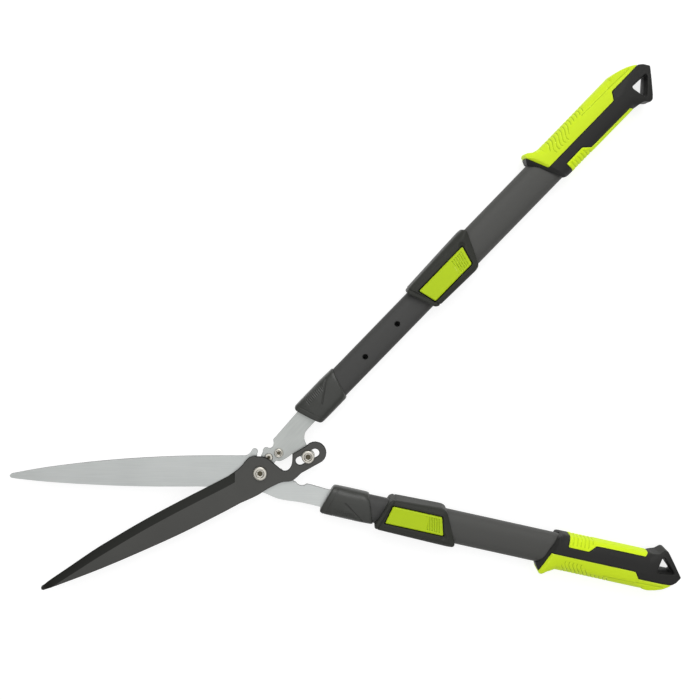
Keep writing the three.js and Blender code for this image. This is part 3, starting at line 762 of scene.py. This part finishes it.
def overmould_shape(w, v, z):
    """The lime skin on the outer side, with its thumb grooves and a seam."""
    groove_depth = 0.8
    body = grip_shape(w, v, z) - SKIN_PROUD
    body = body + groove_depth * thumb_grooves(w, v)
    seam = line_distance([(238, 13.3), (270, 12.8), (300, 11.8)], w, v)
    body = carve(body, np.hypot(seam, body) - 0.55, 0.15)
    shell = meet(body, outline(OVERMOULD_PLAN, w, v, 1.2), 0.4)
    return carve(shell, body + SKIN + SKIN_PROUD, 0.2)


def insert_shape(w, v, z):
    """The lime skin on the inner side, with its ribs."""
    rib_depth = 0.7
    body = grip_shape(w, v, z) - SKIN_PROUD
    body = body + rib_depth * insert_ribs(w, v)
    shell = meet(body, outline(INSERT_PLAN, w, v, 1), 0.5)
    return carve(shell, body + SKIN + SKIN_PROUD, 0.2)


def make_handles():
    for place in HANDLES:
        tube(place, "outer_tube", "slider", tube_coat)
        tube(place, "inner_tube", "fixed", inner_coat, [LOCK_PIN_W, 75.9, 135.1])
    moulded("lock_housing", "slider", "black_plastic", black_plastic, (-2, -20.5, -16.5), (86, 21.5, 16.5),
            0.5, housing_shape)
    moulded("lock_lever", "slider", "lime_plastic", lever_plastic, (8, -12, 9.5), (71, 9.5, 16.5), 0.25,
            lever_shape)
    moulded("collar", "fixed", "black_plastic", collar_plastic, (-59, -18, -13), (1, 18, 13), 0.4,
            collar_shape)
    moulded("grip_core", "slider", "black_plastic", core_plastic, (166, -28, -17), (320, 28, 17), 0.62,
            core_shape)
    moulded("grip_overmould", "slider", "lime_grip", lime_rubber, (166, 0, -17), (315, 28, 17), 0.5,
            overmould_shape)
    moulded("grip_insert", "slider", "lime_grip", insert_rubber, (194, -22, -17), (281, -5, 17), 0.45,
            insert_shape)


# ---------------------------------------------------------------- fasteners
def turned(node, shape, step=0.2, socket=0):
    """Carves a fastener about its own axis, inside its CAD node's box. Its socket gets a darker finish: painted
    shade in the recess, with some oil.
    """
    socket_reach = 3.3
    low, high = (np.array(corner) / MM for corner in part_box(node))
    centre = (low + high) / 2
    centre[2] = 0
    start, end = low - centre - 1, high - centre + 1
    x, y, z = samples(start, end, step)
    field = shape(np.hypot(x, y), x, y, z, low[2], high[2], (high - low)[0] / 2)
    points, faces = surface(field, start, step)
    middle = points[faces].mean(1)
    # Faces inside the socket take the darker finish: painted shade and some oil in the recess.
    socket_shade_and_oil_faces = hexagon(middle[:, 0], middle[:, 1], socket + 0.5) < 0
    socket_shade_and_oil_faces &= middle[:, 2] > high[2] - socket_reach
    make_piece(node, points + centre, faces, "fastener", [nickel, socket_shade_and_oil], socket_shade_and_oil_faces)


def hexagon(x, y, across):
    turns = [math.radians(a) for a in (0, 60, 120)]
    return np.maximum.reduce([np.abs(x * math.cos(t) + y * math.sin(t)) for t in turns]) - across / 2


def socket_bolt(height, dish, socket, shank):
    """A low head with a broad rim around a dish, and a hex socket in the dish."""
    def shape(r, x, y, z, low, high, radius):
        z = z + 0 * r
        head = meet(meet(r - radius, high - height - z, 0.3), z - high + 0.012 * r * r, 0.9)
        rod = meet(r - shank, low - z, 0.5)
        body = np.minimum(head, np.maximum(rod, z - high + height - 0.2))
        cone = meet(r - dish + 0.5 * (high - z), high - 0.45 * height - z, 0.2)
        body = carve(body, cone, 0.25)
        return carve(body, np.maximum(hexagon(x, y, socket), high - 0.85 * height - z), 0.15)
    return shape


def flush_pin(r, x, y, z, low, high, radius):
    """A thin flat head with a shallow socket, on a pin."""
    head = meet(r - radius, np.maximum(high - 1.2 - z, z - high), 0.3)
    rod = meet(r - 3, np.maximum(low - z, z - high), 0.5)
    return carve(np.minimum(head, rod), np.maximum(hexagon(x, y, 3), high - 0.7 - z), 0.2)


def nut_shape(bore):
    """A hexagon nut whose corners are turned off at both faces."""
    def shape(r, x, y, z, low, high, radius):
        flats = meet(hexagon(y, x, 2 * radius * math.sqrt(3) / 2), np.maximum(low - z, z - high), 0.2)
        from_face = (high - low) / 2 - np.abs(z - (low + high) / 2)
        chamfer = r + 1.7 * np.maximum(1.1 - from_face, 0) - radius - 0.2
        return carve(np.maximum(flats, chamfer), r - bore, 0.3)
    return shape


def washer_shape(bore):
    """A flat ring with eased edges."""
    def shape(r, x, y, z, low, high, radius):
        return carve(meet(r - radius, np.maximum(low - z, z - high), 0.35), r - bore + 0 * z, 0.3)
    return shape


def rivet_shape(r, x, y, z, low, high, radius):
    """A plain rod with eased ends."""
    return meet(r - radius, np.maximum(low - z, z - high), 0.6)


def make_fasteners():
    turned("pivot_bolt", socket_bolt(3.6, 4.6, 5, 4), socket=4.6)
    turned("drive_bolt", socket_bolt(3.4, 4.4, 5, 3.4), socket=4.6)
    turned("stop_screw", socket_bolt(2.6, 3.1, 3.4, 2), socket=3)
    turned("pivot_nut", nut_shape(4.3))
    turned("arm_pivot_nut", nut_shape(3.3))
    turned("drive_nut", nut_shape(3.7))
    turned("pivot_washer", washer_shape(4.3))
    turned("drive_washer", washer_shape(3.7))
    turned("arm_pivot_pin", flush_pin, socket=2.6)
    for node in frame["nodes"]:
        if "rivet" in node:
            turned(node, rivet_shape, step=0.25)
        elif node.endswith("_screw") and node != "stop_screw":
            turned(node, rivet_shape)


def make_lever_springs():
    """Each leaf spring keeps its CAD shape, in its own copy of the mesh; nothing here flattens it under its lever.
    """
    for place in HANDLES:
        node = f"{place['side']}_lever_spring"
        points = node_points(node)
        faces = [tuple(face.vertices) for face in frame["nodes"][node].data.polygons]
        piece = make_piece(node, points, faces, "spring_steel", spring, sharp=30)
        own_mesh(piece)


def finish_hidden_nodes():
    """Inner pieces keep their CAD shape and get their own materials."""
    looks = {"plug": nylon, "guide_ring": nylon, "bushing": nylon, "pin": dark_steel}
    for node, piece in frame["nodes"].items():
        if not piece.hide_render:
            look = next(material for word, material in looks.items() if word in node)
            piece.data.materials.clear()
            piece.data.materials.append(look)


# ---------------------------------------------------------------- stage
def make_camera():
    lens, distance, tilt = 51.43, 1.0, math.radians(7)
    aim = (0.0908, 0.1248, PLANE * MM)
    camera = bpy.data.objects.new("camera", bpy.data.cameras.new("camera"))
    bpy.context.scene.collection.objects.link(camera)
    camera.data.lens = lens
    camera.data.sensor_width = 36
    camera.location = (aim[0], aim[1] + distance * math.sin(tilt), aim[2] + distance * math.cos(tilt))
    camera.rotation_euler = (-tilt, 0, 0)
    bpy.context.scene.camera = camera


def soft_light(name, place, aim, size, power):
    lamp = bpy.data.lights.new(name, "AREA")
    lamp.shape, lamp.size, lamp.energy = "DISK", size, power
    light = bpy.data.objects.new(name, lamp)
    bpy.context.scene.collection.objects.link(light)
    light.location = place
    light.rotation_euler = (Vector(aim) - Vector(place)).to_track_quat("-Z", "Y").to_euler()


def make_stage():
    scene = bpy.context.scene
    scene.view_settings.view_transform = "Standard"
    world = bpy.data.worlds.new("studio")
    scene.world = world
    world.use_nodes = True
    horizon, overhead = 0.88, 0.2  # the room is paper white at the horizon and dim overhead
    fade_start, fade_end = 0.02, 0.25  # heights of a view direction of length 1
    nodes, links = world.node_tree.nodes, world.node_tree.links
    direction = nodes.new("ShaderNodeTexCoord")
    split = nodes.new("ShaderNodeSeparateXYZ")
    links.new(direction.outputs["Generated"], split.inputs["Vector"])
    fade = nodes.new("ShaderNodeMapRange")
    fade.inputs["From Min"].default_value = fade_start
    fade.inputs["From Max"].default_value = fade_end
    fade.inputs["To Min"].default_value = horizon
    fade.inputs["To Max"].default_value = overhead
    links.new(split.outputs["Z"], fade.inputs["Value"])
    links.new(fade.outputs["Result"], nodes["Background"].inputs["Strength"])
    nodes["Background"].inputs["Color"].default_value = (1, 1, 1, 1)
    half, gap = 50, 0.0004  # metres
    floor_z = cad_box[0][2] - gap
    mesh = bpy.data.meshes.new("floor")
    mesh.from_pydata([(-half, -half, floor_z), (half, -half, floor_z), (half, half, floor_z),
                      (-half, half, floor_z)], [], [(0, 1, 2, 3)])
    paper = bpy.data.materials.new("white_floor")
    paper.use_nodes = True
    shader = paper.node_tree.nodes["Principled BSDF"]
    shader.inputs["Base Color"].default_value = (0.32, 0.32, 0.32, 1)
    shader.inputs["Roughness"].default_value = 0.9
    shader.inputs["Specular IOR Level"].default_value = 0.1
    shader.inputs["Emission Color"].default_value = (1, 1, 1, 1)
    shader.inputs["Emission Strength"].default_value = 0.8
    mesh.materials.append(paper)
    floor = bpy.data.objects.new("floor", mesh)
    scene.collection.objects.link(floor)
    aim = (0.09, 0.12, 0)
    soft_light("overhead_light", (0.3, 0.2, 1.75), aim, 3.0, 18)
    soft_light("key_light", (0.2, 1.4, 1.5), aim, 1.7, 19)
    soft_light("front_light", (0.1, -1.3, 1.1), aim, 1.0, 1.5)


make_camera()
make_plates()
make_handles()
make_fasteners()
make_lever_springs()
finish_hidden_nodes()
make_stage()
